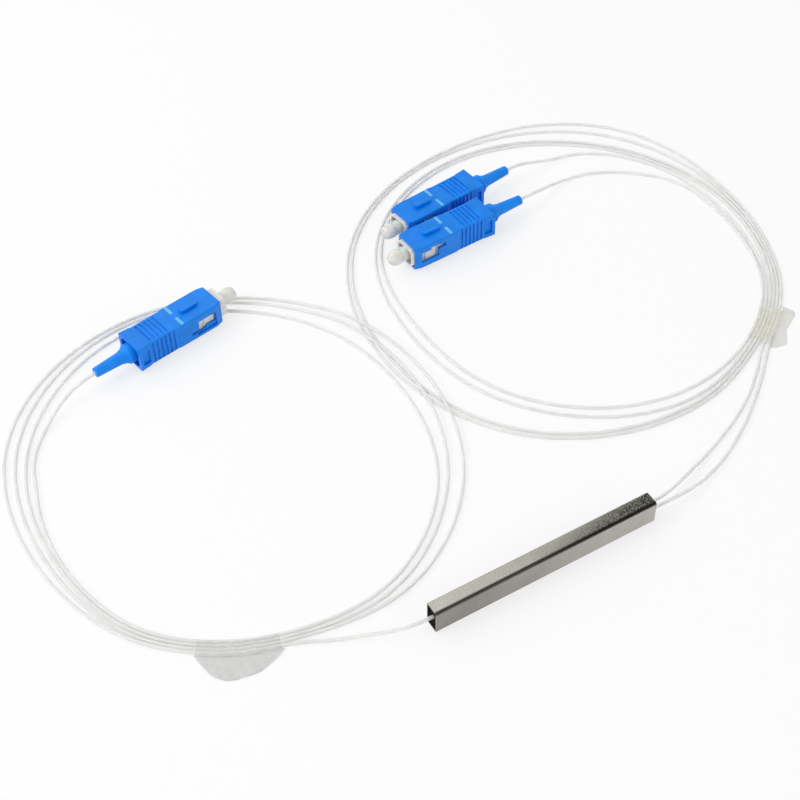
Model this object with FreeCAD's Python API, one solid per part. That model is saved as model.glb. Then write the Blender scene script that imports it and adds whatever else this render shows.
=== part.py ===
import FreeCAD, Part
import math
import os

# A 1 x 2 planar fibre splitter in a thin steel tube, with three SC plugs on coiled 0.9 mm fibre tubes.
# Units are mm. The origin is the bottom centre of the steel tube: +X runs along the tube to its output
# end, +Y runs across it towards the coils, and +Z is up. Everything rests on the plane z = 0.

Vec = FreeCAD.Vector
Z_AXIS = Vec(0, 0, 1)
X_AXIS = Vec(1, 0, 0)

# ---- steel tube and what is inside it
TUBE_LENGTH = 60.0
TUBE_WIDTH = 4.0
TUBE_HEIGHT = 7.0
TUBE_WALL = 0.3
TUBE_CORNER = 0.6
AXIS_HEIGHT = TUBE_HEIGHT / 2
SEAL_RECESS = 0.5
SEAL_LENGTH = 3.0
OUTPUT_PITCH = 1.5
CHIP_SIZE = (12.0, 2.4, 1.0)
LID_LENGTH = 10.0
BLOCK_LENGTH = 8.0
PAD_LENGTH = 26.0
BARE_FIBRE = 0.25

# ---- fibre tube, called cord here
CORD = 0.9
CORD_R = CORD / 2
ARC_SHARE = 0.45
CORD_SEAT = 3.0
CLEAR_OF_BOOT = 4.0
CLEAR_OF_TUBE = 4.2

# ---- SC plug, along its own x axis: 0 at the grip's rear face, the nose towards +x
GRIP_LENGTH = 26.3
GRIP_WIDTH = 9.0
GRIP_HEIGHT = 7.4
GRIP_FLARE = 0.25
GRIP_WAIST = 0.2
GRIP_ROUND = 0.45
NOSE_TAPER = (2.0, 0.55)
REAR_BLOCK = 3.6
WAIST_EASE = (0.6, 0.8)
RIB_PITCH = 1.3
RIB_GROOVE = 0.6
RIB_DEPTH = 0.3
SIDE_RIBS = 6
TOP_RIBS = 5
TOP_RIB_INSET = 0.6
RECESS_EDGES = (0.9, 0.4)
RECESS_HALF_HEIGHT = 2.2
RECESS_DEPTH = 0.5
KEY_SIZE = (5.3, 2.0, 1.0)
KEY_FROM_NOSE = 5.0
KEY_ROUND = 0.6
KEY_ROOT = 0.3
WINDOW_LENGTH = 5.6
WINDOW_FROM_NOSE = 2.0
WINDOW_LOW = -1.2
WINDOW_HIGH = 1.7
SLOT_LENGTH = 2.3
SLOT_LOW = -1.9
SLOT_HIGH = -0.8
SILL_LOW = -2.6
SILL_DEPTH = 0.45
SILL_BEYOND = 0.7

FRAME_WIDTH = 7.2
FRAME_HEIGHT = 5.8
FRAME_CHAMFER = 1.0
FRAME_PROUD = 0.8
FRAME_REAR = 8.5
FRAME_WALL = 0.6
FRAME_GAP = 0.15
MOUTH_DEPTH = 7.6
MOUTH_CHAMFER = 0.7
FLOOR_THICKNESS = 1.8
NOTCHES_FROM_FRONT = (4.4, 8.6)
NOTCH_SIZE = (1.1, 0.4, 3.8)

FERRULE = 2.5
FERRULE_LENGTH = 10.7
FERRULE_PROUD = 0.9
FERRULE_GAP = 0.05
FERRULE_BEVEL = (0.8, 0.3)
FLANGE = 4.5
FLANGE_LENGTH = 1.9
FLANGE_GAP = 0.1
FLANGE_TAIL = 1.9
FLANGE_TAIL_LENGTH = 4.8
SPRING_OUTER = 4.3
SPRING_INNER = 3.3
CHAMBER = 4.9
RING_BORE = 2.2
RING_BARREL = 3.4
RING_COLLAR = 5.6
RING_COLLAR_LENGTH = 1.2
RING_SEAT = 1.8
RING_REAR = 1.0

BOOT_BASE = 5.5
BOOT_INSIDE = 4.5
BOOT_NECK = 3.4
BOOT_TIP = 2.7
BOOT_LENGTH = 12.0
BOOT_SHOULDER = 2.4
BOOT_FLARE = 2.2
BOOT_CHEEK = (0.4, 0.35)
BOOT_BORE_DEPTH = 2.0

CAP = 4.2
CAP_SEAT = 1.7
CAP_BEYOND = 5.9
CAP_LEAD_IN = (0.4, 0.2)
CAP_DOME = ((0.25, 0.85), (0.8, 0.3), (1.5, 0.0))
CAP_WAIST = (1.2, 0.5, 0.25)
CAP_TIP_GAP = 0.3

# ---- where the plugs lie: rear centre of the grip, turn about z, and how far the grip is pulled back
STRAND = 0.95
PLUG_AXIS = STRAND + 0.05 + GRIP_HEIGHT / 2
PLUGS = {
    "input": {"at": (-53.1, 109.7), "turn": 10.7, "pulled": 1.2},
    "output_a": {"at": (52.2, 106.3), "turn": 183.2, "pulled": 0.0},
    "output_b": {"at": (56.0, 118.5), "turn": 187.0, "pulled": 0.0},
}

# ---- coils, each one layer of strands: outer and inner outline as centre and half sizes
INPUT_COIL = {"outer": ((-46.2, 65.3), (54.7, 59.8)), "inner": ((-47.4, 65.6), (46.6, 53.0))}
OUTPUT_COIL = {"outer": ((60.8, 81.0), (59.2, 59.2)), "inner": ((64.1, 76.5), (50.4, 50.4))}
COIL_GAP = 0.1
BRIDGE_REACH = 4.0

# ---- cord routes, chosen by hand, from where the cord is clear of its exit to where it meets its coil
INPUT_LEAD = [(-40.0, 2.6, 1.8), (-46.2, 5.6, 0.55), (-52.5, 8.4, 0.5)]
OUTPUT_LEAD_A = [(43.5, 2.8, 1.7), (58.0, 9.0, 0.5), (72.0, 16.4, 0.5), (84.6, 26.0, 0.5), (90.4, 32.4, 0.5)]
OUTPUT_LEAD_B = [(44.5, 0.2, 1.3), (58.0, 5.0, 0.5), (73.6, 14.2, 0.5), (87.2, 26.0, 0.5), (92.6, 33.4, 0.5)]
INPUT_TAIL = [(-75.0, 104.6, 2.6), (-82.0, 99.8, 0.5), (-89.2, 89.6, 0.5)]
OUTPUT_TAIL_A = [(75.0, 109.6, 2.7), (84.0, 111.6, 0.5), (96.4, 107.8, 0.5), (107.0, 98.4, 0.5), (113.7, 86.2, 0.5)]
OUTPUT_TAIL_B = [(78.0, 120.6, 2.7), (86.4, 120.2, 0.5), (96.4, 115.2, 0.5)]

# ---- film tapes: corners of the wrap over the coil, and of the flag beside it
TAPE = 0.15
INPUT_WRAP = [(-84.0, 16.0), (-76.0, 28.0), (-57.5, 18.0), (-63.0, 4.0)]
INPUT_FLAG = [(-77.8, 18.0), (-76.4, 11.2), (-72.4, 9.4), (-68.6, 8.6), (-62.6, 6.6), (-62.6, 12.0)]
OUTPUT_WRAP = [(91.0, 24.0), (84.0, 32.0), (94.0, 43.0), (103.0, 37.0)]
OUTPUT_FLAG = [(96.0, 37.4), (102.8, 35.0), (97.4, 30.6), (94.2, 26.4), (90.4, 31.0)]


def save(name, shape):
    """Write one node, as one clean closed solid."""
    solid = shape.removeSplitter()
    if len(solid.Solids) == 1:
        solid = solid.Solids[0]
    if not solid.isValid() or not solid.Solids:
        raise ValueError(name + " isn't a valid solid")
    solid.exportStep("parts/" + name + ".step")
    box = solid.BoundBox
    text = "%-22s volume %9.2f  solids %d  z %.2f to %.2f"
    print(text % (name, solid.Volume, len(solid.Solids), box.ZMin, box.ZMax))


def block(x0, x1, y0, y1, z0, z1):
    """A box between two corners."""
    return Part.makeBox(x1 - x0, y1 - y0, z1 - z0, Vec(x0, y0, z0))


def rod(diameter, x0, x1, y=0.0, z=0.0):
    """A cylinder along x."""
    return Part.makeCylinder(diameter / 2, x1 - x0, Vec(x0, y, z), X_AXIS)


def plate(points, z0, z1):
    """A flat polygon, raised from z0 to z1."""
    corners = [Vec(x, y, z0) for x, y in points]
    return Part.Face(Part.makePolygon(corners + corners[:1])).extrude(Vec(0, 0, z1 - z0))


def edged_bar(x0, x1, width, height, chamfer):
    """A bar along x whose section is a rectangle with cut corners."""
    w, h, c = width / 2, height / 2, chamfer
    section = [(-w, c - h), (c - w, -h), (w - c, -h), (w, c - h), (w, h - c), (w - c, h), (c - w, h), (-w, h - c)]
    corners = [Vec(x0, y, z) for y, z in section]
    return Part.Face(Part.makePolygon(corners + corners[:1])).extrude(Vec(x1 - x0, 0, 0))


def turned(profile):
    """A solid turned about the x axis from (x, radius) points."""
    points = [Vec(x, radius, 0) for x, radius in profile]
    return Part.Face(Part.makePolygon(points + points[:1])).revolve(Vec(0, 0, 0), X_AXIS, 360)


# ------------------------------------------------------------------ splitter

def rounded_bar(length, width, height, corner):
    """A bar along x, centred on the tube's axis, with rounded long edges."""
    bar = block(-length / 2, length / 2, -width / 2, width / 2, AXIS_HEIGHT - height / 2, AXIS_HEIGHT + height / 2)
    long_edges = [e for e in bar.Edges if abs(e.Length - length) < 1e-6 and abs(e.tangentAt(0).x) > 0.9]
    return bar.makeFillet(corner, long_edges)


def steel_tube():
    """The thin-walled tube, with its ends left open."""
    outer = rounded_bar(TUBE_LENGTH, TUBE_WIDTH, TUBE_HEIGHT, TUBE_CORNER)
    inner_width = TUBE_WIDTH - 2 * TUBE_WALL
    inner_height = TUBE_HEIGHT - 2 * TUBE_WALL
    inner = rounded_bar(TUBE_LENGTH + 2, inner_width, inner_height, TUBE_CORNER - TUBE_WALL)
    return outer.cut(inner)


def cord_offsets(side):
    """Where the cords cross an end seal: one at the input end (-1), two at the output end (+1)."""
    return [0.0] if side < 0 else [OUTPUT_PITCH / 2, -OUTPUT_PITCH / 2]


def end_seal(side):
    """The black plug that closes one end of the tube, bored for its cords."""
    inner_width = TUBE_WIDTH - 2 * TUBE_WALL
    inner_height = TUBE_HEIGHT - 2 * TUBE_WALL
    seal = rounded_bar(SEAL_LENGTH, inner_width, inner_height, TUBE_CORNER - TUBE_WALL)
    seal.translate(Vec(side * (TUBE_LENGTH / 2 - SEAL_RECESS - SEAL_LENGTH / 2), 0, 0))
    for y in cord_offsets(side):
        seal = seal.cut(rod(CORD, -TUBE_LENGTH, TUBE_LENGTH, y, AXIS_HEIGHT))
    return seal


def save_splitter():
    """The steel tube with the chip, the two fibre blocks and the seals inside it."""
    save("steel_tube", steel_tube())
    save("input_end_seal", end_seal(-1))
    save("output_end_seal", end_seal(1))
    length, width, height = CHIP_SIZE
    z0 = AXIS_HEIGHT - height
    z1 = AXIS_HEIGHT + height
    half_pad = (TUBE_WIDTH - 2 * TUBE_WALL) / 2
    save("plc_chip", block(-length / 2, length / 2, -width / 2, width / 2, z0, AXIS_HEIGHT))
    save("chip_lid", block(-LID_LENGTH / 2, LID_LENGTH / 2, -width / 2, width / 2, AXIS_HEIGHT, z1))
    for name, side in (("input", -1), ("output", 1)):
        near = side * length / 2
        far = near + side * BLOCK_LENGTH
        glass = block(min(near, far), max(near, far), -width / 2, width / 2, z0, z1)
        save(name + "_fibre_block", glass)
        seal_face = side * (TUBE_LENGTH / 2 - SEAL_RECESS - SEAL_LENGTH)
        for y, tag in zip(cord_offsets(side), ("_a", "_b")):
            fibre = rod(BARE_FIBRE, min(far, seal_face), max(far, seal_face), y, AXIS_HEIGHT)
            save(name + "_bare_fibre" + (tag if side > 0 else ""), fibre)
    low = TUBE_WALL
    high = TUBE_HEIGHT - TUBE_WALL
    inset = TUBE_CORNER - TUBE_WALL
    save("lower_pad", block(-PAD_LENGTH / 2, PAD_LENGTH / 2, inset - half_pad, half_pad - inset, low, z0))
    save("upper_pad", block(-PAD_LENGTH / 2, PAD_LENGTH / 2, inset - half_pad, half_pad - inset, z1, high))


# ------------------------------------------------------------------ SC plug, in its own axes

def grip_outline():
    """Half of the grip seen from above: flared rear block, waisted ribs, straight body, tapered nose."""
    half = GRIP_WIDTH / 2
    ribs_end = REAR_BLOCK + SIDE_RIBS * RIB_PITCH + RIB_GROOVE
    nose_length, nose_cut = NOSE_TAPER
    ease_in, ease_out = WAIST_EASE
    return [(0.0, half + GRIP_FLARE), (REAR_BLOCK - ease_in, half), (REAR_BLOCK, half - GRIP_WAIST),
            (ribs_end, half - GRIP_WAIST), (ribs_end + ease_out, half), (GRIP_LENGTH - nose_length, half),
            (GRIP_LENGTH, half - nose_cut)]


def rib_grooves():
    """Grooves across both sides and the top, which leave the finger ribs standing."""
    cuts = []
    side = GRIP_WIDTH / 2 - GRIP_WAIST - RIB_DEPTH
    top = GRIP_HEIGHT / 2
    across = side - TOP_RIB_INSET
    for i in range(max(SIDE_RIBS, TOP_RIBS)):
        x0 = REAR_BLOCK + RIB_GROOVE + i * RIB_PITCH
        x1 = x0 + RIB_GROOVE
        if i < SIDE_RIBS:
            cuts.append(block(x0, x1, side, GRIP_WIDTH, RIB_DEPTH - top, top - RIB_DEPTH))
            cuts.append(block(x0, x1, -GRIP_WIDTH, -side, RIB_DEPTH - top, top - RIB_DEPTH))
        if i < TOP_RIBS:
            cuts.append(block(x0, x1, -across, across, top - RIB_DEPTH, GRIP_HEIGHT))
    return cuts


def side_windows():
    """The stepped window through each side wall with the sill below it, and the recess at the rear of each side."""
    cuts = []
    x1 = GRIP_LENGTH - WINDOW_FROM_NOSE
    x0 = x1 - WINDOW_LENGTH
    rear_edge, front_edge = RECESS_EDGES
    for side in (-1, 1):
        outer = side * GRIP_WIDTH
        inside = side * FRAME_WIDTH / 4
        sill = side * (GRIP_WIDTH / 2 - SILL_DEPTH)
        floor = side * (GRIP_WIDTH / 2 - RECESS_DEPTH)
        openings = [
            (x0, x1, inside, WINDOW_LOW, WINDOW_HIGH),
            (x0 - SLOT_LENGTH, x0 + SLOT_LENGTH, inside, SLOT_LOW, SLOT_HIGH),
            (x0 - SILL_BEYOND, x1, sill, SILL_LOW, WINDOW_LOW + SILL_DEPTH),
            (rear_edge, REAR_BLOCK - front_edge, floor, -RECESS_HALF_HEIGHT, RECESS_HALF_HEIGHT),
        ]
        for a, b, depth, low, high in openings:
            z0, z1 = (low, high) if side < 0 else (-high, -low)
            cuts.append(block(a, b, min(outer, depth), max(outer, depth), z0, z1))
    return cuts


def grip():
    """The outer housing: ribbed shell with the key on top, open right through."""
    half = grip_outline()
    outline = half + [(x, -y) for x, y in reversed(half)]
    top = GRIP_HEIGHT / 2
    shell = plate(outline, -top, top)
    long_edges = [e for e in shell.Edges if abs(e.tangentAt(0).x) > 0.5]
    shell = shell.makeFillet(GRIP_ROUND, long_edges)
    bore = edged_bar(-1, GRIP_LENGTH + 1, FRAME_WIDTH + 2 * FRAME_GAP, FRAME_HEIGHT + 2 * FRAME_GAP, FRAME_CHAMFER)
    shell = shell.cut(bore)
    for cut in rib_grooves() + side_windows():
        shell = shell.cut(cut)
    length, width, height = KEY_SIZE
    x1 = GRIP_LENGTH - KEY_FROM_NOSE
    key = block(x1 - length, x1, -width / 2, width / 2, top - KEY_ROOT, top + height)
    key = key.makeFillet(KEY_ROUND, [e for e in key.Edges if abs(e.tangentAt(0).z) > 0.9])
    return shell.fuse(key)


def plug_frame():
    """The inner body: a cut-cornered bar with a mouth for the dust cap and a chamber for the spring."""
    front = GRIP_LENGTH + FRAME_PROUD
    floor_front = front - MOUTH_DEPTH
    floor_rear = floor_front - FLOOR_THICKNESS
    body = edged_bar(FRAME_REAR, front, FRAME_WIDTH, FRAME_HEIGHT, FRAME_CHAMFER)
    mouth_width = FRAME_WIDTH - 2 * FRAME_WALL
    mouth_height = FRAME_HEIGHT - 2 * FRAME_WALL
    body = body.cut(edged_bar(floor_front, front + 1, mouth_width, mouth_height, MOUTH_CHAMFER))
    body = body.cut(rod(CHAMBER, FRAME_REAR - 1, floor_rear))
    body = body.cut(rod(FERRULE + 2 * FERRULE_GAP, floor_rear - 1, front))
    width, depth, height = NOTCH_SIZE
    for side in (-1, 1):
        y0, y1 = sorted((side * (FRAME_WIDTH / 2 - depth), side * FRAME_WIDTH))
        for back in NOTCHES_FROM_FRONT:
            body = body.cut(block(front - back, front - back + width, y0, y1, -height / 2, height / 2))
    return body


def flange():
    """The metal collar on the ferrule's rear end, with the tail that the spring sits round."""
    front = GRIP_LENGTH + FRAME_PROUD - MOUTH_DEPTH - FLOOR_THICKNESS - FLANGE_GAP
    ferrule_rear = GRIP_LENGTH + FRAME_PROUD + FERRULE_PROUD - FERRULE_LENGTH
    rear = front - FLANGE_LENGTH
    tail = rear - FLANGE_TAIL_LENGTH
    body = rod(FLANGE, rear, front).fuse(rod(FLANGE_TAIL, tail, rear))
    body = body.cut(rod(FERRULE, ferrule_rear, front + 1))
    return body.cut(rod(CORD, tail - 1, front)), rear


def ferrule():
    """The white ceramic pin, with its bevelled tip."""
    tip = GRIP_LENGTH + FRAME_PROUD + FERRULE_PROUD
    r = FERRULE / 2
    length, depth = FERRULE_BEVEL
    rear = tip - FERRULE_LENGTH
    return turned([(rear, 0), (tip, 0), (tip, r - depth), (tip - length, r), (rear, r)])


def stop_ring():
    """The metal ring that closes the spring chamber and carries the boot."""
    seat = FRAME_REAR + RING_SEAT
    collar_rear = FRAME_REAR - RING_COLLAR_LENGTH
    ring = rod(CHAMBER, FRAME_REAR, seat).fuse(rod(RING_COLLAR, collar_rear, FRAME_REAR))
    ring = ring.fuse(rod(RING_BARREL, RING_REAR, collar_rear))
    return ring.cut(rod(RING_BORE, 0, seat + 1)), seat


def boot():
    """The strain relief: a round base inside the grip, a hollow-cheeked shoulder and a thin tail."""
    base = BOOT_BASE / 2
    neck = BOOT_NECK / 2
    start = -BOOT_SHOULDER
    along, left = BOOT_CHEEK
    cheek = (start - along * BOOT_FLARE, neck + left * (base - neck))
    tip = (-BOOT_LENGTH, BOOT_TIP / 2)
    body = turned([(-BOOT_LENGTH, 0), (BOOT_INSIDE, 0), (BOOT_INSIDE, base), (start, base), cheek,
                   (start - BOOT_FLARE, neck), tip])
    body = body.cut(rod(RING_BARREL, RING_REAR, BOOT_INSIDE + 1))
    return body.cut(rod(CORD, -BOOT_LENGTH - 1, BOOT_BORE_DEPTH))


def dust_cap():
    """The soft cap over the ferrule: a cup with a waist and a domed head."""
    mouth = GRIP_LENGTH + FRAME_PROUD
    rear = mouth - MOUTH_DEPTH + CAP_SEAT
    front = GRIP_LENGTH + CAP_BEYOND
    r = CAP / 2
    lead_length, lead_depth = CAP_LEAD_IN
    waist_from, waist_length, waist_depth = CAP_WAIST
    waist = mouth + waist_from
    dome = [(front - back, r - inward) for back, inward in reversed(CAP_DOME)]
    body = turned([(rear, 0), (rear, r - lead_depth), (rear + lead_length, r), (waist, r), (waist, r - waist_depth),
                   (waist + waist_length, r - waist_depth), (waist + waist_length, r), *dome,
                   (front, CAP / 8), (front, 0)])
    return body.cut(rod(FERRULE + 2 * FERRULE_GAP, rear - 1, mouth + FERRULE_PROUD + CAP_TIP_GAP))


def save_plug(name, place):
    """All pieces of one plug, put where the plug lies."""
    x, y = place["at"]
    spot = FreeCAD.Placement(Vec(x, y, PLUG_AXIS), FreeCAD.Rotation(Z_AXIS, place["turn"]))
    collar, collar_rear = flange()
    ring, ring_front = stop_ring()
    coil_spring = rod(SPRING_OUTER, ring_front, collar_rear).cut(rod(SPRING_INNER, ring_front - 1, collar_rear + 1))
    shell = grip()
    shell.translate(Vec(-place["pulled"], 0, 0))
    pieces = {"grip": shell, "plug_frame": plug_frame(), "ferrule": ferrule(), "ferrule_flange": collar,
              "spring": coil_spring, "stop_ring": ring, "boot": boot(), "dust_cap": dust_cap()}
    for piece, shape in pieces.items():
        shape.Placement = spot.multiply(shape.Placement)
        save(name + "_" + piece, shape)


# ------------------------------------------------------------------ cords, coils and tapes

def cord_tube(name, points):
    """A round tube along straight runs that are joined by the largest arcs their lengths allow."""
    route = [Vec(*p) for p in points]
    edges = []
    last = route[0]
    smallest = 1e9
    for before, corner, after in zip(route, route[1:], route[2:]):
        back = (before - corner)
        ahead = (after - corner)
        turn = math.pi - back.getAngle(ahead)
        reach = ARC_SHARE * min(back.Length, ahead.Length)
        smallest = min(smallest, reach / math.tan(turn / 2))
        start = corner + back.normalize() * reach
        end = corner + ahead.normalize() * reach
        bisector = (back + ahead).normalize()
        radius = reach / math.tan(turn / 2)
        middle = corner + bisector * (radius / math.cos(turn / 2) - radius)
        edges.append(Part.LineSegment(last, start).toShape())
        edges.append(Part.Arc(start, middle, end).toShape())
        last = end
    edges.append(Part.LineSegment(last, route[-1]).toShape())
    path = Part.Wire(edges)
    ring = Part.Wire(Part.makeCircle(CORD_R, route[0], route[1] - route[0]))
    tube = path.makePipeShell([ring], True, True)
    if tube.Volume < 0:
        tube.reverse()
    section = math.pi * CORD_R ** 2
    text = "%-22s length %.1f  smallest arc radius %.1f  volume share %.4f"
    print(text % (name, path.Length, smallest, tube.Volume / (section * path.Length)))
    return tube


def from_tube_end(side, y, route):
    """A lead's whole route: seated in its end seal, straight out of the tube, then along the given points."""
    seat = side * (TUBE_LENGTH / 2 - SEAL_RECESS - SEAL_LENGTH)
    clear = side * (TUBE_LENGTH / 2 + CLEAR_OF_TUBE)
    return [(seat, y, AXIS_HEIGHT), (clear, y, AXIS_HEIGHT)] + route


def from_boot(place, route):
    """A tail's whole route: seated in the boot's tip, straight out of it, then along the given points."""
    turn = math.radians(place["turn"])
    points = []
    for along in (CORD_SEAT, -CLEAR_OF_BOOT):
        reach = along - BOOT_LENGTH
        x = place["at"][0] + reach * math.cos(turn)
        y = place["at"][1] + reach * math.sin(turn)
        points.append((x, y, PLUG_AXIS))
    return points + route


def oval(centre, half, z0, z1):
    """A flat round or oval disc."""
    rx, ry = half
    middle = Vec(centre[0], centre[1], z0)
    if abs(rx - ry) < 1e-9:
        edge = Part.makeCircle(rx, middle)
    else:
        edge = Part.Ellipse(middle + Vec(0, ry, 0), middle + Vec(-rx, 0, 0), middle).toShape()
    return Part.Face(Part.Wire(edge)).extrude(Vec(0, 0, z1 - z0))


def band(coil, z0, z1):
    """The flat ring between a coil's outer and inner outline."""
    return oval(*coil["outer"], z0, z1).cut(oval(*coil["inner"], z0 - 1, z1 + 1))


def grown(outline, by):
    """The same outline, larger all round."""
    centre, half = outline
    return centre, (half[0] + by, half[1] + by)


def input_coil_solid():
    """The input coil: one layer on the floor, and a second where it lies over the output coil."""
    layer = band(INPUT_COIL, 0, STRAND).cut(oval(*grown(OUTPUT_COIL["outer"], COIL_GAP), -1, 2 * STRAND))
    reach = oval(*grown(OUTPUT_COIL["outer"], BRIDGE_REACH), STRAND, 2 * STRAND)
    return layer.fuse(band(INPUT_COIL, STRAND, 2 * STRAND).common(reach))


def tape(coil, wrap, flag):
    """A film over the top and sides of a coil, with its two ends stuck together as a flat flag."""
    top = STRAND + TAPE
    over = plate(wrap, 0, top).common(oval(*grown(coil["outer"], TAPE), 0, top))
    over = over.cut(oval(*grown(coil["inner"], -TAPE), -1, top + 1))
    return over.fuse(plate(flag, 0, 2 * TAPE)).cut(band(coil, -1, STRAND))


def save_cords():
    """Leads, tails, coils and tapes."""
    output_lead = zip(("output_lead_a", "output_lead_b"), cord_offsets(1), (OUTPUT_LEAD_A, OUTPUT_LEAD_B))
    tubes = {"input_lead": from_tube_end(-1, 0.0, INPUT_LEAD)}
    for name, y, route in output_lead:
        tubes[name] = from_tube_end(1, y, route)
    tubes["input_tail"] = from_boot(PLUGS["input"], INPUT_TAIL)
    tubes["output_tail_a"] = from_boot(PLUGS["output_a"], OUTPUT_TAIL_A)
    tubes["output_tail_b"] = from_boot(PLUGS["output_b"], OUTPUT_TAIL_B)
    for name, points in tubes.items():
        save(name, cord_tube(name, points))
    save("input_coil", input_coil_solid())
    save("output_coil", band(OUTPUT_COIL, 0, STRAND))
    save("input_coil_tape", tape(INPUT_COIL, INPUT_WRAP, INPUT_FLAG))
    save("output_coil_tape", tape(OUTPUT_COIL, OUTPUT_WRAP, OUTPUT_FLAG))


os.makedirs("parts", exist_ok=True)
save_splitter()
for plug_name, plug_place in PLUGS.items():
    save_plug(plug_name, plug_place)
save_cords()
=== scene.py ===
import math

import bpy
import numpy as np
from mathutils import Matrix, Vector


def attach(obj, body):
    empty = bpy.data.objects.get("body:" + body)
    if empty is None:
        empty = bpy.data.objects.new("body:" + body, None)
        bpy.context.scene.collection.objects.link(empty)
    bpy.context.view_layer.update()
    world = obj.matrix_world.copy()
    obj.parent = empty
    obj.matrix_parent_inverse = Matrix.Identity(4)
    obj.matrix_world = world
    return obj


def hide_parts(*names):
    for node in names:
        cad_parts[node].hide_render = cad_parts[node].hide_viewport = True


bl_info = {
    "name": "Fibre splitter dresser",
    "version": (1, 0, 0),
    "blender": (4, 5, 0),
    "location": "3D View > Sidebar > Splitter",
    "description": "Dresses a steel tube fibre splitter with its cords, ties, plugs and finishes",
    "category": "Object",
}

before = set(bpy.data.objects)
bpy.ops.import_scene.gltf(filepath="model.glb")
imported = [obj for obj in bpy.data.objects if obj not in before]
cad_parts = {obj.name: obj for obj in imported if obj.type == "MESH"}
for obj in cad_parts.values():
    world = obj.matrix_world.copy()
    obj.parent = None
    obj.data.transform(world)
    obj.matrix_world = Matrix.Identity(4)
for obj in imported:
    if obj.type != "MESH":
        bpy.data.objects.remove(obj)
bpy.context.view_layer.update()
MM = 0.001
ROOT = "splitter"

# ---- sizes in mm, the same as the part's own
TUBE_HALF = 30.0
TUBE_HEIGHT = 7.0
TUBE_AXIS = TUBE_HEIGHT / 2
OUTPUT_OFFSET = 0.75
GRIP_LENGTH = 26.3
GRIP_TOP = 3.7
PLUG_AXIS = 4.7

# ---- plugs: their pieces; then where each lies, in mm, its turn in degrees, and how far its grip is pulled
# back, in mm
PLUG_PARTS = ("grip", "plug_frame", "ferrule", "ferrule_flange", "spring", "stop_ring", "boot")
PLUGS = {
    "input": {"at": (-53.1, 109.7), "turn": 10.7, "pulled": 1.2},
    "output_a": {"at": (52.2, 106.3), "turn": 183.2, "pulled": 0.0},
    "output_b": {"at": (56.0, 118.5), "turn": 187.0, "pulled": 0.0},
}

# ---- how a cord lies, in mm: where it starts inside the tube's seal, its axis above the floor, the rise
# where it passes over another, how near to that one the rise is full and how far off it ends, and where the
# cord enters its boot and stops, along the plug
CORD_SEAT = TUBE_HALF - 3.5
LIE = 0.5
STACK = 0.93
HUMP_TOP = 4.0
HUMP_END = 13.0
IN_BOOT = (-16.0, -9.0)

# ---- coils: a cord's distance from the centre is given at each eighth of a turn, counted from the first
# angle. The tie's place, its full hold and the fade of its hold are in eighths too, and the step is between
# passes at the tie, in mm.
EIGHTHS = 8
INPUT_COIL = {"centre": (-46.4, 65.5), "first": -90.0, "sense": -1, "tie": 0.58, "flat": 0.30, "fade": 0.75,
              "step": 0.97}
OUTPUT_COIL = {"centre": (61.0, 81.5), "first": -90.0, "sense": 1, "tie": 0.79, "flat": 0.16, "fade": 0.60,
               "step": 1.94}

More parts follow.
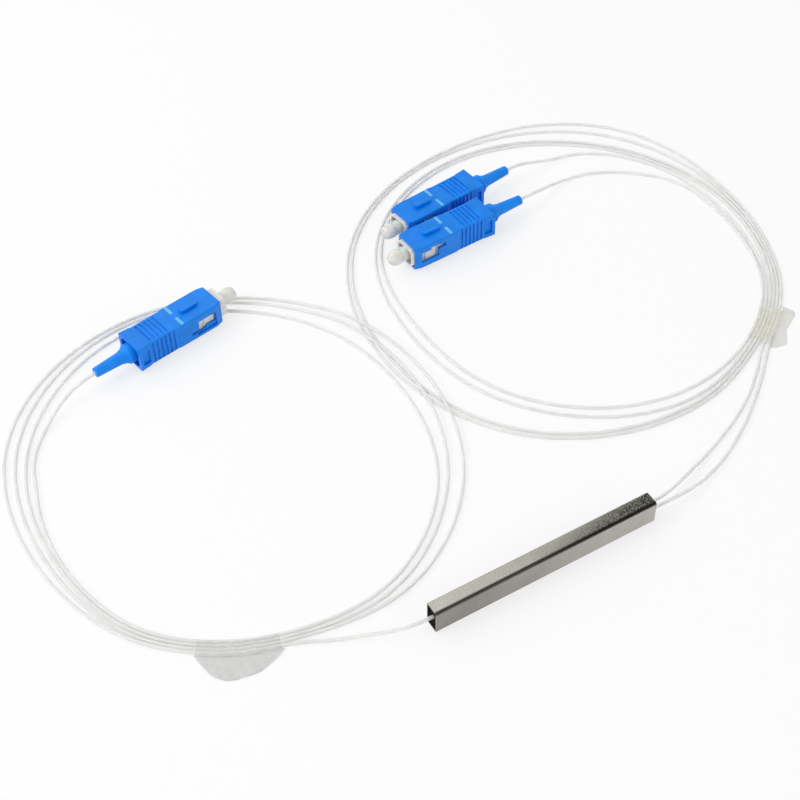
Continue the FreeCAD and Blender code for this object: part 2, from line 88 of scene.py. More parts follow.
# ---- cords: the lead's and the tail's points in mm; the coil's reaches, one row to a turn in the order that
# the cord is wound; the eighths that are wound, and the first pass's reach at the tie
CORDS = {
    "output_cord_a": {
        "plug": "output_a", "exit": (TUBE_HALF, OUTPUT_OFFSET), "length": 0.90, "coil": OUTPUT_COIL,
        "stands_for": ("output_lead_a", "output_tail_a", "output_coil"),
        "lead": [(CORD_SEAT, 0.75, TUBE_AXIS), (34.2, 0.75, TUBE_AXIS), (43.2, 3.9, 1.8), (52.8, 7.4, 0.6),
                 (62.1, 11.0, LIE), (69.9, 14.8, LIE), (76.4, 19.0, LIE), (82.8, 24.2, LIE)],
        "reaches": [61.6, 58.5, 57.6, 60.2, 58.3, 57.9, 57.4, 60.9,
                    59.4, 56.6, 55.1, 53.8, 53.8, 50.8, 45.6, 50.3,
                    54.6, 54.4, 51.0, 51.0],
        "wound": (0.62, 18.10), "at_tie": 58.78,
        "tail": [(110.8, 91.6, LIE), (107.6, 97.6, LIE), (102.6, 102.8, LIE), (96.4, 107.6, LIE),
                 (89.2, 110.8, LIE), (82.0, 111.4, 0.6), (75.0, 109.4, 2.7)],
    },
    "output_cord_b": {
        "plug": "output_b", "exit": (TUBE_HALF, -OUTPUT_OFFSET), "length": 0.93, "coil": OUTPUT_COIL,
        "stands_for": ("output_lead_b", "output_tail_b"),
        "lead": [(CORD_SEAT, -0.75, TUBE_AXIS), (34.2, -0.75, TUBE_AXIS), (44.5, 0.4, 1.4), (54.6, 3.6, LIE),
                 (63.6, 8.2, LIE), (71.4, 13.1, LIE), (79.4, 19.2, LIE), (85.8, 24.8, LIE)],
        "reaches": [63.6, 59.5, 58.7, 64.2, 59.7, 59.1, 59.1, 62.4,
                    60.6, 57.6, 56.4, 55.2, 55.2, 52.2, 48.6, 53.2,
                    57.8, 55.5, 52.7, 53.4],
        "wound": (0.68, 18.26), "at_tie": 59.75,
        "tail": [(110.9, 98.4, LIE), (107.4, 105.9, LIE), (102.6, 112.6, LIE), (96.8, 117.4, LIE),
                 (90.6, 120.4, LIE), (84.2, 121.0, 0.7), (78.0, 120.8, 2.7)],
    },
    "input_cord": {
        "plug": "input", "exit": (-TUBE_HALF, 0.0), "length": 1.19, "coil": INPUT_COIL,
        "stands_for": ("input_lead", "input_coil", "input_tail"),
        "lead": [(-CORD_SEAT, 0.0, TUBE_AXIS), (-33.8, 0.0, TUBE_AXIS), (-39.2, 2.2, 2.2), (-45.4, 5.6, 0.9),
                 (-51.0, 8.0, LIE)],
        "reaches": [58.2, 55.0, 53.8, 58.5, 59.6, 57.1, 54.9, 56.6,
                    57.2, 53.9, 51.4, 55.8, 58.2, 54.8, 51.4, 52.9,
                    55.8, 52.7, 49.6, 52.8, 55.6, 51.0, 47.3, 50.8,
                    53.8, 51.4, 48.4, 48.6],
        "wound": (0.26, 26.5), "at_tie": 55.1,
        "tail": [(-89.8, 89.0, LIE), (-86.4, 95.2, LIE), (-81.4, 100.6, 0.6), (-75.4, 104.8, 2.6)],
    },
}
# the eighths of the input coil that pass over the output coil; the later ones lie clear of it
PASSING_OVER = 17

# ---- film ties: angle and half length of the sleeve, its section, and the flag's edge as angle and reach;
# then the sleeve's axis above the floor and half the flag's thickness, in mm
TIES = {
    "input_coil_tape": {
        "centre": INPUT_COIL["centre"], "angle": -115.6, "half": 9.4, "reach": 53.65, "section": (2.05, 0.49),
        "flag": [(-126.0, 55.4), (-124.0, 57.6), (-120.8, 61.0), (-118.0, 61.9), (-115.5, 61.6),
                 (-111.7, 60.7), (-106.3, 57.1), (-104.9, 55.4)],
        "sleeve": ((0.80, 0.80, 0.79), 0.12), "leaf": ((0.68, 0.68, 0.665), 0.50),
    },
    "output_coil_tape": {
        "centre": OUTPUT_COIL["centre"], "angle": -54.4, "half": 6.4, "reach": 57.33, "section": (3.0, 0.49),
        "flag": [(-61.6, 60.4), (-60.9, 62.2), (-58.7, 64.2), (-54.0, 62.6), (-48.4, 63.7), (-47.0, 63.4),
                 (-46.4, 60.4)],
        "sleeve": ((0.94, 0.92, 0.72), 0.12), "leaf": ((0.74, 0.73, 0.69), 0.38),
    },
}
SLEEVE_AXIS = 0.495
HALF_FILM = 0.035

# ---- dust cap: its profile in the plug's own axes, as (along, radius), from the end of the bore round the
# rim and back along the outside to the front of the head
CAP_REAR = 21.2
CAP_FRONT = 32.2
CAP_PROFILE = [(28.4, 0.35), (28.4, 1.0), (28.2, 1.3), (21.5, 1.3), (CAP_REAR, 1.55), (CAP_REAR, 1.85),
               (21.45, 2.02), (26.6, 2.06), (27.9, 2.06), (28.15, 1.9), (28.7, 1.9), (29.0, 2.10),
               (29.6, 2.16), (30.4, 2.16), (31.1, 2.04), (31.65, 1.75), (32.0, 1.35),
               (CAP_FRONT - 0.04, 0.8), (CAP_FRONT, 0.35)]

# ---- seating marks: from the nose of the grip, from its middle, and their section as (share of the size,
# height above the grip)
MARK_FROM_NOSE = 12.0
MARK_OFF_AXIS = 2.55
MARK_SECTION = ((1.0, -0.05), (1.0, 0.02), (0.94, 0.045), (0.5, 0.05))

# ---- stage: half the floor's width in metres; the strength of the sky low down and what it loses overhead,
# with the heights between which it fades, as the z of a direction; the heights between which metal goes from
# white to that sky; the camera's place in metres and its turns in degrees; and where the lamps aim
FLOOR_REACH = 4.0
SKY_LOW, SKY_FALL = 0.60, 0.46
SKY_FADE = (0.60, 0.88)
SKY_MIRRORED = (0.40, 0.60)
CAMERA_AT = (-0.1287, -0.1644, 0.2863)
CAMERA_TURNS = ((-29.3, "Z"), (42.27, "X"), (-1.63, "Z"))
LAMPS_AIM = (0.0, 0.06, 0.0)

# ---- lamps: name, azimuth, height above the floor in degrees, distance and size in metres, power in watts
LAMPS = [("key", 110.0, 60.0, 1.15, 1.50, 6.4), ("edge", -67.0, 35.0, 1.00, 0.36, 1.1),
         ("side", 176.0, 42.0, 1.20, 0.80, 4.6)]


# ------------------------------------------------------------------ settings

class CordSettings(bpy.types.PropertyGroup):
    """Sizes and colours of the 0.9 mm fibre tube."""
    diameter: bpy.props.FloatProperty(name="Diameter", description="Outside diameter of the fibre tube",
                                      default=0.0009, unit="LENGTH", precision=5)
    per_turn: bpy.props.IntProperty(name="Points per turn", description="Control points in a turn of a coil",
                                    default=32, min=12, max=60)
    jacket: bpy.props.FloatVectorProperty(name="Jacket", description="Colour of the translucent jacket",
                                          default=(0.97, 0.97, 0.955), subtype="COLOR", size=3, min=0, max=1)


class PlugSettings(bpy.types.PropertyGroup):
    """Colours and small sizes of the plugs."""
    shell: bpy.props.FloatVectorProperty(name="Shell", description="Colour of the grips and boots",
                                         default=(0.003, 0.235, 0.87), subtype="COLOR", size=3, min=0, max=1)
    mark: bpy.props.FloatVectorProperty(name="Seating marks", description="Colour of the bars on each grip",
                                        default=(0.13, 0.52, 0.97), subtype="COLOR", size=3, min=0, max=1)
    body: bpy.props.FloatVectorProperty(name="Inner body", description="Colour of the inner plug body",
                                        default=(0.84, 0.82, 0.76), subtype="COLOR", size=3, min=0, max=1)
    mark_length: bpy.props.FloatProperty(name="Mark length", description="Length of a mark across the grip",
                                         default=0.0032, unit="LENGTH", precision=5)
    mark_width: bpy.props.FloatProperty(name="Mark width", description="Width of a mark along the grip",
                                        default=0.0009, unit="LENGTH", precision=5)


class StageSettings(bpy.types.PropertyGroup):
    """The floor, the lamps and the camera."""
    floor: bpy.props.FloatVectorProperty(name="Floor", description="Colour of the floor",
                                         default=(0.99, 0.99, 0.99), subtype="COLOR", size=3, min=0, max=1)
    glow: bpy.props.FloatProperty(name="Floor glow", description="Share of plain white in the floor as seen",
                                  default=0.70, min=0, max=1, subtype="FACTOR")
    lens: bpy.props.FloatProperty(name="Lens", description="Focal length on a 36 mm sensor", default=68.7)


# ------------------------------------------------------------------ shader maths

class Field:
    """A value in a shader: a socket that adds, subtracts and multiplies like a number."""

    def __init__(self, tree, socket):
        self.tree = tree
        self.socket = socket

    def feed(self, target, value):
        if isinstance(value, Field):
            self.tree.links.new(value.socket, target)
        elif value is not None:
            target.default_value = value

    def node(self, kind, inputs=(), output=0, **settings):
        """Any other node: inputs maps a socket's name or number to a field or a plain value."""
        made = self.tree.nodes.new(kind)
        for key, value in settings.items():
            setattr(made, key, value)
        for key, value in dict(inputs).items():
            self.feed(made.inputs[key], value)
        return Field(self.tree, made.outputs[output])

    def math(self, operation, a, b):
        return self.node("ShaderNodeMath", {0: a, 1: b}, operation=operation)

    def __add__(self, other):
        return self.math("ADD", self, other)

    def __radd__(self, other):
        return self.math("ADD", other, self)

    def __sub__(self, other):
        return self.math("SUBTRACT", self, other)

    def __rsub__(self, other):
        return self.math("SUBTRACT", other, self)

    def __mul__(self, other):
        return self.math("MULTIPLY", self, other)

    def __rmul__(self, other):
        return self.math("MULTIPLY", other, self)

    def either(self, other):
        """The larger of two fields."""
        return self.math("MAXIMUM", self, other)

    def between(self, low, high):
        """0 below low, 1 above high, eased in between."""
        return self.node("ShaderNodeMapRange", {0: self, 1: low, 2: high, 3: 0.0, 4: 1.0},
                         interpolation_type="SMOOTHSTEP")

    def blend(self, a, b):
        """Colour a where this is 0 and colour b where it is 1."""
        a, b = (colour if isinstance(colour, Field) else (*colour, 1.0) for colour in (a, b))
        return self.node("ShaderNodeMix", {0: self, 6: a, 7: b}, output=2, data_type="RGBA")


class Finish:
    """One material: its tree, its principled shader, and the fields that vary over the surface."""

    def __init__(self, name, colour, rough, **constants):
        self.material = bpy.data.materials.new(name)
        self.material.use_nodes = True
        self.material.diffuse_color = (*colour, 1.0)
        self.tree = self.material.node_tree
        self.shader = self.tree.nodes["Principled BSDF"]
        self.shader.inputs["Base Color"].default_value = (*colour, 1.0)
        self.shader.inputs["Roughness"].default_value = rough
        for key, value in constants.items():
            self.shader.inputs[key.replace("_", " ").title().replace("Ior", "IOR")].default_value = value
        self.field = Field(self.tree, None)
        self.place = self.field.node("ShaderNodeTexCoord", output="Object")

    def stretched(self, x, y, z, turn=0.0):
        """Object coordinates turned about z by degrees, then scaled along each axis."""
        turned = self.field.node("ShaderNodeMapping", {0: self.place, 2: (0, 0, math.radians(turn))})
        return self.field.node("ShaderNodeMapping", {0: turned, 3: (x, y, z)})

    def noise(self, size, detail=2.0, place=None):
        """Noise with features of about the given size in mm, as 0 to 1."""
        return self.field.node("ShaderNodeTexNoise", {"Vector": place or self.place, "Scale": 1 / (size * MM),
                                                      "Detail": detail})

    def cells(self, size):
        """Distance to the nearest speck, with specks about the given size in mm apart."""
        return self.field.node("ShaderNodeTexVoronoi", {"Vector": self.place, "Scale": 1 / (size * MM)})

    def set(self, socket, value):
        self.field.feed(self.shader.inputs[socket], value)

    def bump(self, height, depth, strength=1.0):
        """Relief of the given depth in mm."""
        relief = self.field.node("ShaderNodeBump", {"Height": height, "Distance": depth * MM,
                                                    "Strength": strength})
        self.set("Normal", relief)


def shade(colour, by):
    """A colour made lighter or darker, up to 1 in each part."""
    return tuple(min(1.0, c * by) for c in colour)


def rays(field):
    """Rays from the camera, off metal and through clear pieces, as fields that are 0 or 1."""
    return [field.node("ShaderNodeLightPath", output="Is " + kind + " Ray")
            for kind in ("Camera", "Glossy", "Transmission")]


# ------------------------------------------------------------------ finishes

def nickel_steel():
    """Satin nickel plating: drawn lines along the tube under a fine grain. Towards the output end the top
    bears a painted dark reflection broken by specks of grain, first at its front edge, and is rougher there;
    a painted dark reflection line runs along that edge. The sides bear a painted reflection that grows
    lighter towards that end."""
    finish = Finish("nickel_steel", (0.38, 0.36, 0.33), 0.22, metallic=1.0)
    grain = finish.noise(0.22, 3.0)
    drawn = finish.noise(0.12, 2.0, finish.stretched(0.05, 1, 1))
    cloud = finish.noise(5.0, 2.0)
    along, across, up = (finish.field.node("ShaderNodeSeparateXYZ", {0: finish.place}, output=axis)
                         for axis in range(3))
    top = up.between((TUBE_HEIGHT - 0.8) * MM, (TUBE_HEIGHT - 0.2) * MM)
    # Mask where the top bears a painted dark reflection towards the output end, first at its front edge; it
    # also makes that part rougher.
    dull_and_painted_dark_reflection = (along - across * 4.0).between(-4 * MM, 28 * MM) * top
    # Mask of a painted dark reflection line along the top's front edge.
    painted_edge_reflection = (0.0 - across).between(0.90 * MM, 1.65 * MM) * top
    # Mask for the sides' painted reflection, from the input end to just past the output end.
    lengthways = along.between(-TUBE_HALF * MM, (TUBE_HALF + 4) * MM)
    tone = (grain * 0.55 + drawn * 0.25 + cloud * 0.20).between(0.34, 0.66)
    light = tone.blend((0.38, 0.368, 0.325), (0.485, 0.472, 0.42))
    # Painted reflection on the sides: copies of the top's tone, dimmer at the input end and brighter at the
    # output end.
    dim = tone.blend((0.245, 0.228, 0.208), (0.31, 0.29, 0.267))
    bright = tone.blend((0.41, 0.385, 0.355), (0.52, 0.495, 0.455))
    # The painted dark reflection on the top: near black, broken by specks of grain.
    specks = finish.noise(0.30, 3.0).between(0.42, 0.60)
    dark = specks.blend((0.02, 0.02, 0.016), (0.29, 0.29, 0.255))
    # The sides with their painted reflection, the top in its own tone, and the painted dark reflection over
    # the top's output end.
    plain = dull_and_painted_dark_reflection.blend(top.blend(lengthways.blend(dim, bright), light), dark)
    # Base colour: the painted dark reflection line along the front edge, near black, over all the rest.
    finish.set("Base Color", (painted_edge_reflection * (0.94 + dull_and_painted_dark_reflection * 0.05)).blend(plain, (0.018, 0.016, 0.012)))
    finish.set("Roughness", 0.15 + grain * 0.14 + drawn * 0.06 + dull_and_painted_dark_reflection * 0.10)
    finish.bump(grain * 0.6 + drawn * 0.4, 0.014, 0.6)
    return finish.material


def moulded_blue(name, colour, rough, grain_size, depth):
    """Moulded blue plastic: fine tool texture, faint flow marks and a slightly uneven tint."""
    finish = Finish(name, colour, rough, specular_ior_level=0.26)
    flow = finish.noise(3.2, 3.0)
    grain = finish.noise(grain_size, 2.0)
    tint = (flow * 0.7 + grain * 0.3).between(0.3, 0.7)
    finish.set("Base Color", tint.blend(shade(colour, 0.90), shade(colour, 1.08)))
    finish.set("Roughness", rough - 0.05 + grain * 0.10)
    finish.bump(grain, depth, 0.6)
    return finish.material


def plain_moulded(name, colour, rough, grain_size, depth, **constants):
    """Plastic, rubber, glass or ceramic in one tint: soft clouding, and a fine grain in gloss and relief."""
    finish = Finish(name, colour, rough, **constants)
    cloud = finish.noise(grain_size * 8, 3.0)
    grain = finish.noise(grain_size, 2.0)
    tint = (cloud * 0.6 + grain * 0.4).between(0.3, 0.7)
    finish.set("Base Color", tint.blend(shade(colour, 0.90), shade(colour, 1.06)))
    finish.set("Roughness", rough - 0.06 + grain * 0.12)
    finish.bump(grain, depth, 0.6)
    return finish.material


def black_seal():
    """Black potting compound: lumpy and pitted, and least dull in the pits."""
    finish = Finish("black_seal", (0.008, 0.008, 0.008), 0.8, specular_ior_level=0.06)
    pits = finish.cells(0.30)
    lumps = finish.noise(0.9, 3.0)
    finish.set("Base Color", lumps.between(0.3, 0.7).blend((0.005, 0.005, 0.005), (0.018, 0.017, 0.016)))
    finish.set("Roughness", 0.62 + pits * 0.30)
    finish.bump(pits * 0.5 + lumps, 0.08, 0.7)
    return finish.material


def metal(name, colour, rough):
    """Plated metal: a fine grain and a light clouding."""
    finish = Finish(name, colour, rough, metallic=1.0)
    grain = finish.noise(0.10, 2.0)
    cloud = finish.noise(1.2, 2.0)
    tint = (grain * 0.4 + cloud * 0.6).between(0.3, 0.7)
    finish.set("Base Color", tint.blend(shade(colour, 0.86), shade(colour, 1.06)))
    finish.set("Roughness", rough - 0.05 + grain * 0.12)
    finish.bump(grain, 0.004, 0.5)
    return finish.material


def cord_jacket(colour):
    """Loose fibre tube: a milky jacket, faintly clouded, with a soft gloss."""
    finish = Finish("cord_jacket", colour, 0.32, subsurface_weight=0.25, transmission_weight=0.34, ior=1.33)
    finish.shader.inputs["Subsurface Radius"].default_value = (0.0009, 0.0009, 0.0008)
    finish.shader.inputs["Subsurface Scale"].default_value = 0.6
    clouds = finish.noise(2.6, 2.0)
    grain = finish.noise(0.25, 2.0)
    tint = (clouds * 0.7 + grain * 0.3).between(0.3, 0.7)
    finish.set("Base Color", tint.blend(shade(colour, 0.95), shade(colour, 1.03)))
    finish.set("Roughness", 0.24 + grain * 0.14)
    finish.bump(grain, 0.01, 0.4)
    return finish.material


def cap_clear():
    """Soft milky cap: clouded, with a fine grain in its gloss."""
    finish = Finish("clear_cap", (0.92, 0.93, 0.90), 0.38, transmission_weight=0.30, ior=1.36,
                    subsurface_weight=0.4)
    finish.shader.inputs["Subsurface Scale"].default_value = 0.002
    cloud = finish.noise(1.4, 3.0)
    grain = finish.noise(0.2, 2.0)
    finish.set("Base Color", cloud.between(0.3, 0.7).blend((0.88, 0.89, 0.86), (0.96, 0.97, 0.95)))
    finish.set("Roughness", 0.18 + grain * 0.14)
    finish.bump(cloud * 0.5 + grain * 0.5, 0.02, 0.5)
    return finish.material


def film_tape(name, tint, alpha):
    """Clear film: tinted, creased aslant, with patches of trapped air that show as a paler haze."""
    finish = Finish(name, tint, 0.25, specular_ior_level=0.4)
    creases = finish.noise(1.3, 3.0, finish.stretched(1.0, 0.35, 1.0, 25))
    haze = finish.noise(2.8, 2.0).between(0.40, 0.62)
    finish.set("Base Color", haze.blend(tint, shade(tint, 1.06)))
    finish.set("Roughness", 0.18 + creases * 0.25)
    finish.set("Alpha", alpha - 0.06 + haze * 0.07 + creases * 0.10)
    finish.bump(creases, 0.05, 0.4)
    return finish.material


def paint(node, material):
    """Give a CAD node its finish."""
    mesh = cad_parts[node].data
    mesh.materials.clear()
    mesh.materials.append(material)


# ------------------------------------------------------------------ shapes

def ease(x):
    """3 x squared minus 2 x cubed, held between 0 and 1."""
    x = np.clip(x, 0.0, 1.0)
    return x * x * (3 - 2 * x)


def plateau(distance, flat, fade):
    """1 within flat of zero, eased down to 0 over fade."""
    return ease((flat + fade - np.abs(distance)) / fade)


def coil_line(cord, per_turn):
    """Points along a cord's coil, in the plane.

    The distance from the centre runs smoothly through the reaches: between two of them it is the cubic that
    passes through both with a slope of half the step across each. Near the tie, each pass is drawn to its
    place in the bundle, which is the first pass's distance less a step for each turn.
    """
    coil, reaches = cord["coil"], cord["reaches"]
    start, stop = cord["wound"]
    count = int(round((stop - start) / EIGHTHS * per_turn)) + 1
    t = np.linspace(start, stop, count)
    padded = np.array([reaches[0], *reaches, reaches[-1]])
    i = np.minimum(np.floor(t).astype(int), len(reaches) - 2)
    f = t - i
    before, here, ahead, beyond = (padded[i + k] for k in range(4))
    reach = 0.5 * (2 * here + (ahead - before) * f + (2 * before - 5 * here + 4 * ahead - beyond) * f ** 2
                   + (3 * here - before - 3 * ahead + beyond) * f ** 3)
    turn = np.round((t - coil["tie"]) / EIGHTHS)
    from_tie = t - coil["tie"] - EIGHTHS * turn
    pull = plateau(from_tie, coil["flat"], coil["fade"])
    reach = reach * (1 - pull) + (cord["at_tie"] - coil["step"] * turn) * pull
    angle = np.radians(coil["first"] + coil["sense"] * 360 / EIGHTHS * t)
    x, y = coil["centre"]
    return np.stack([x + reach * np.cos(angle), y + reach * np.sin(angle)], axis=1)


def into_boot(plug):
    """The last two points of a cord: level and straight into the boot's tip."""
    place = PLUGS[plug]
    turn = math.radians(place["turn"])
    along = np.array(IN_BOOT)
    x = place["at"][0] + along * math.cos(turn)
    y = place["at"][1] + along * math.sin(turn)
    return np.stack([x, y, np.full(len(along), PLUG_AXIS)], axis=1)


def divided(line, parts):
    """The points of a line with the spaces between them divided into equal parts."""
    at = np.arange(0, len(line) - 1, 1 / parts)
    return np.stack([np.interp(at, np.arange(len(line)), line[:, axis]) for axis in range(2)], axis=1)


def rise_over(points, lower):
    """Height added where points pass over the lower cords: full where they are near, eased out to nothing
    further off, so that each crossing is a long low hump."""
    gap = np.min(np.linalg.norm(points[:, None, :] - lower[None, :, :], axis=2), axis=1)
    return STACK * ease((HUMP_END - gap) / (HUMP_END - HUMP_TOP))


def cord_line(cord, per_turn, lower=None):
    """A cord's control points in mm: lead, coil and tail on the floor, and into the boot. Where lower cords
    are given, the first turns of the coil rise over them."""
    flat = coil_line(cord, per_turn)
    z = np.full(len(flat), LIE)
    if lower is not None:
        z += rise_over(flat, lower) * (np.linspace(*cord["wound"], len(flat)) < PASSING_OVER)
    return np.vstack([cord["lead"], np.column_stack([flat, z]), cord["tail"], into_boot(cord["plug"])])


def cord_curve(name, points, settings, material):
    """A NURBS curve over its control points, with a round bevel and closed ends."""
    curve = bpy.data.curves.new(name, "CURVE")
    curve.dimensions = "3D"
    spline = curve.splines.new("NURBS")
    spline.points.add(len(points) - 1)
    spline.points.foreach_set("co", np.column_stack([points * MM, np.ones(len(points))]).ravel())
    spline.order_u = 3
    spline.use_endpoint_u = True
    spline.resolution_u = 5
    curve.bevel_depth = settings.diameter / 2
    curve.bevel_resolution = 4
    curve.use_fill_caps = True
    curve.materials.append(material)
    cord = bpy.data.objects.new(name, curve)
    bpy.context.collection.objects.link(cord)
    return cord


def skin(name, rings, material, loop=False):
    """A closed surface over rings of points, rings[i, j]: its ends are closed by a fan to each end ring's
    centre, or in a loop the last ring is joined to the first."""
    count, around = rings.shape[:2]
    base = np.arange(count * around).reshape(count, around)
    if loop:
        base = np.vstack([base, base[:1]])
    low, high = base[:-1], base[1:]
    quads = np.stack([low, np.roll(low, -1, 1), np.roll(high, -1, 1), high], axis=-1).reshape(-1, 4)
    points = rings.reshape(-1, 3)
    faces = quads.tolist()
    if not loop:
        points = np.vstack([points, rings[0].mean(axis=0), rings[-1].mean(axis=0)])
        tail, nose = len(points) - 2, len(points) - 1
        first, last = base[0], base[-1]
        faces += np.stack([np.roll(first, -1), first, np.full(around, tail)], axis=-1).tolist()
        faces += np.stack([last, np.roll(last, -1), np.full(around, nose)], axis=-1).tolist()
    mesh = bpy.data.meshes.new(name)
    mesh.from_pydata((points * MM).tolist(), [], faces)
    mesh.polygons.foreach_set("use_smooth", np.ones(len(faces), dtype=bool))
    mesh.materials.append(material)
    mesh.update()
    piece = bpy.data.objects.new(name, mesh)
    bpy.context.collection.objects.link(piece)
    return piece


def plug_place(plug, points):
    """Points in a plug's own axes, turned and moved to where the plug lies."""
    place = PLUGS[plug]
    turn = math.radians(place["turn"])
    c, s = math.cos(turn), math.sin(turn)
    x, y, z = points[..., 0], points[..., 1], points[..., 2]
    return np.stack([place["at"][0] + x * c - y * s, place["at"][1] + x * s + y * c, PLUG_AXIS + z], axis=-1)


def lathe(profile, around):
    """Rings about the x axis: y = r cos a, z = r sin a, for each (x, r) of the profile."""
    x, r = np.array(profile).T
    a = np.linspace(0, 2 * math.pi, around, endpoint=False)
    wide = np.broadcast_to(x[:, None], (len(x), around))
    return np.stack([wide, r[:, None] * np.cos(a), r[:, None] * np.sin(a)], axis=-1)


def squared(a, size, power):
    """The two coordinates of a rounded oblong: half its size times |cos a| or |sin a| to a power, with the
    sign of the cosine or sine."""
    return (size[0] * np.sign(np.cos(a)) * np.abs(np.cos(a)) ** power,
            size[1] * np.sign(np.sin(a)) * np.abs(np.sin(a)) ** power)


# ------------------------------------------------------------------ operators

class Dress:
    """What every operator shares: it can be undone."""
    bl_options = {"REGISTER", "UNDO"}


class SPLITTER_OT_finishes(Dress, bpy.types.Operator):
    """Give every hard node of the splitter and the plugs its finish"""
    bl_idname = "splitter.finishes"
    bl_label = "Finishes"

    def execute(self, context):
        plug = context.scene.splitter_plug
        silica = plain_moulded("silica", (0.78, 0.82, 0.84), 0.10, 0.15, 0.002, transmission_weight=0.6,
                               ior=1.46)
        silicone = plain_moulded("silicone", (0.72, 0.72, 0.70), 0.55, 0.25, 0.02, subsurface_weight=0.1)
        seal = black_seal()
        paint("steel_tube", nickel_steel())
        for node in ("input_end_seal", "output_end_seal"):
            paint(node, seal)
        for node in ("plc_chip", "chip_lid", "input_fibre_block", "output_fibre_block", "input_bare_fibre",
                     "output_bare_fibre_a", "output_bare_fibre_b"):
            paint(node, silica)
        for node in ("lower_pad", "upper_pad"):
            paint(node, silicone)
        shell = moulded_blue("blue_plastic", tuple(plug.shell), 0.36, 0.16, 0.012)
        rubber = moulded_blue("blue_rubber", shade(plug.shell, 1.12), 0.50, 0.10, 0.015)
        nickel = metal("nickel_metal", (0.66, 0.65, 0.62), 0.26)
        cream = plain_moulded("cream_plastic", tuple(plug.body), 0.34, 0.14, 0.01, subsurface_weight=0.08)
        zirconia = plain_moulded("zirconia", (0.86, 0.86, 0.84), 0.10, 0.05, 0.001)
        kinds = (shell, cream, zirconia, nickel, nickel, nickel, rubber)
        for name in PLUGS:
            for part, material in zip(PLUG_PARTS, kinds):
                paint(name + "_" + part, material)
        return {"FINISHED"}


class SPLITTER_OT_cords(Dress, bpy.types.Operator):
    """Lay the three fibre tubes: straight out of the splitter, round their coils and into the boots"""
    bl_idname = "splitter.cords"
    bl_label = "Cords"

    def execute(self, context):
        settings = context.scene.splitter_cord
        jacket = cord_jacket(tuple(settings.jacket))
        lines = {}
        for name, route in CORDS.items():
            lower = None
            if name == "input_cord":
                lower = np.vstack([divided(line, parts=8) for line in lines.values()])
            lines[name] = cord_line(route, settings.per_turn, lower)
        for name, points in lines.items():
            route = CORDS[name]
            cord = cord_curve(name, points, settings, jacket)
            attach(cord, ROOT)
            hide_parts(*route["stands_for"])
            x, y = route["exit"]
            x * MM
            y * MM
            [route["plug"] + "_" + part for part in PLUG_PARTS]
        return {"FINISHED"}


class SPLITTER_OT_caps(Dress, bpy.types.Operator):
    """Turn the soft dust caps: a thin cup over the ferrule with a rim, a waist and a rounded head"""
    bl_idname = "splitter.caps"
    bl_label = "Dust caps"

    def execute(self, context):
        clear = cap_clear()
        for plug in PLUGS:
            cap = skin(plug + "_cap_shell", plug_place(plug, lathe(CAP_PROFILE, around=48)), clear)
            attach(cap, plug + "_cap")
            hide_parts(plug + "_dust_cap")
        return {"FINISHED"}


class SPLITTER_OT_ties(Dress, bpy.types.Operator):
    """Wrap each coil in its clear film: a sleeve round the strands and a flag where the film's ends meet"""
    bl_idname = "splitter.ties"
    bl_label = "Film ties"

    def execute(self, context):
        for node, tie in TIES.items():
            wrap = film_tape(node + "_wrap", *tie["sleeve"])
            sleeve = skin(node + "_sleeve", self.sleeve(tie), wrap, loop=True)
            leaf = film_tape(node + "_leaf", *tie["leaf"])
            flag = skin(node + "_flag", self.flag(tie), leaf)
            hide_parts(node)
            for piece in (sleeve, flag):
                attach(piece, ROOT)
        return {"FINISHED"}

    @staticmethod
    def around(tie, angle, reach, z):
        """Points at an angle in degrees and a distance from the coil's centre."""
        turn = np.radians(angle)
        x, y = tie["centre"]
        return np.stack(np.broadcast_arrays(x + reach * np.cos(turn), y + reach * np.sin(turn), z), axis=-1)

    def sleeve(self, tie):
        """A tube along the bundle: each section is a flattened ring, half its size times the root of |cos|
        and |sin|, with creases that run slantwise, outside first and then back along the inside, a share of
        the size less for the film's thickness."""
        steps, sides = 29, 56
        thickness = 0.03
        half_angle = math.degrees(tie["half"] / tie["reach"])
        u = np.linspace(-1, 1, steps)
        u = np.concatenate([u, u[::-1]])[:, None]
        inner = np.repeat([0.0, 1.0], steps)[:, None]
        a = np.linspace(0, 2 * math.pi, sides, endpoint=False)[None, :]
        wide, high = tie["section"]
        crease = 0.016 * np.sin(9 * u + 3 * a) + 0.012 * np.sin(17 * u - 5 * a)
        flare = 1 + 0.03 * np.abs(u) ** 6
        size = flare * (1 + crease) - thickness * inner
        across, up = squared(a, (wide * size, high * np.minimum(size, 1.0)), 0.5)
        return self.around(tie, tie["angle"] + half_angle * u, tie["reach"] + across, SLEEVE_AXIS + up)

    def flag(self, tie):
        """A thin leaf from the bundle's outer side to the flag's edge, its upper face out and its lower face
        back: reach between them, and a height that sags and ripples as a sum of sines."""
        corners = np.array(tie["flag"])
        steps, columns = 13, 61
        overlap, least = 0.12, 0.1
        angle = np.linspace(corners[0, 0], corners[-1, 0], columns)
        edge = np.interp(angle, corners[:, 0], corners[:, 1])
        soft = np.convolve(np.pad(edge, 1, mode="edge"), (0.25, 0.5, 0.25), mode="valid")
        root = tie["reach"] + tie["section"][0] - overlap
        out = np.linspace(0, 1, steps)
        share = np.concatenate([out, out[::-1]])[None, :]
        side = np.repeat([1.0, -1.0], steps)[None, :]
        angle = angle[:, None]
        reach = root + (np.maximum(soft, root + least)[:, None] - root) * share
        wave = 0.10 * np.sin(angle * 0.9 + 3 * share) + 0.06 * np.sin(angle * 2.3 - 5 * share)
        z = 0.30 - 0.06 * share + wave * share * (1 + 0.5 * share) + HALF_FILM * side
        lowest = 0.01 + HALF_FILM * (1 + side)
        return self.around(tie, angle, reach, np.maximum(z, lowest))


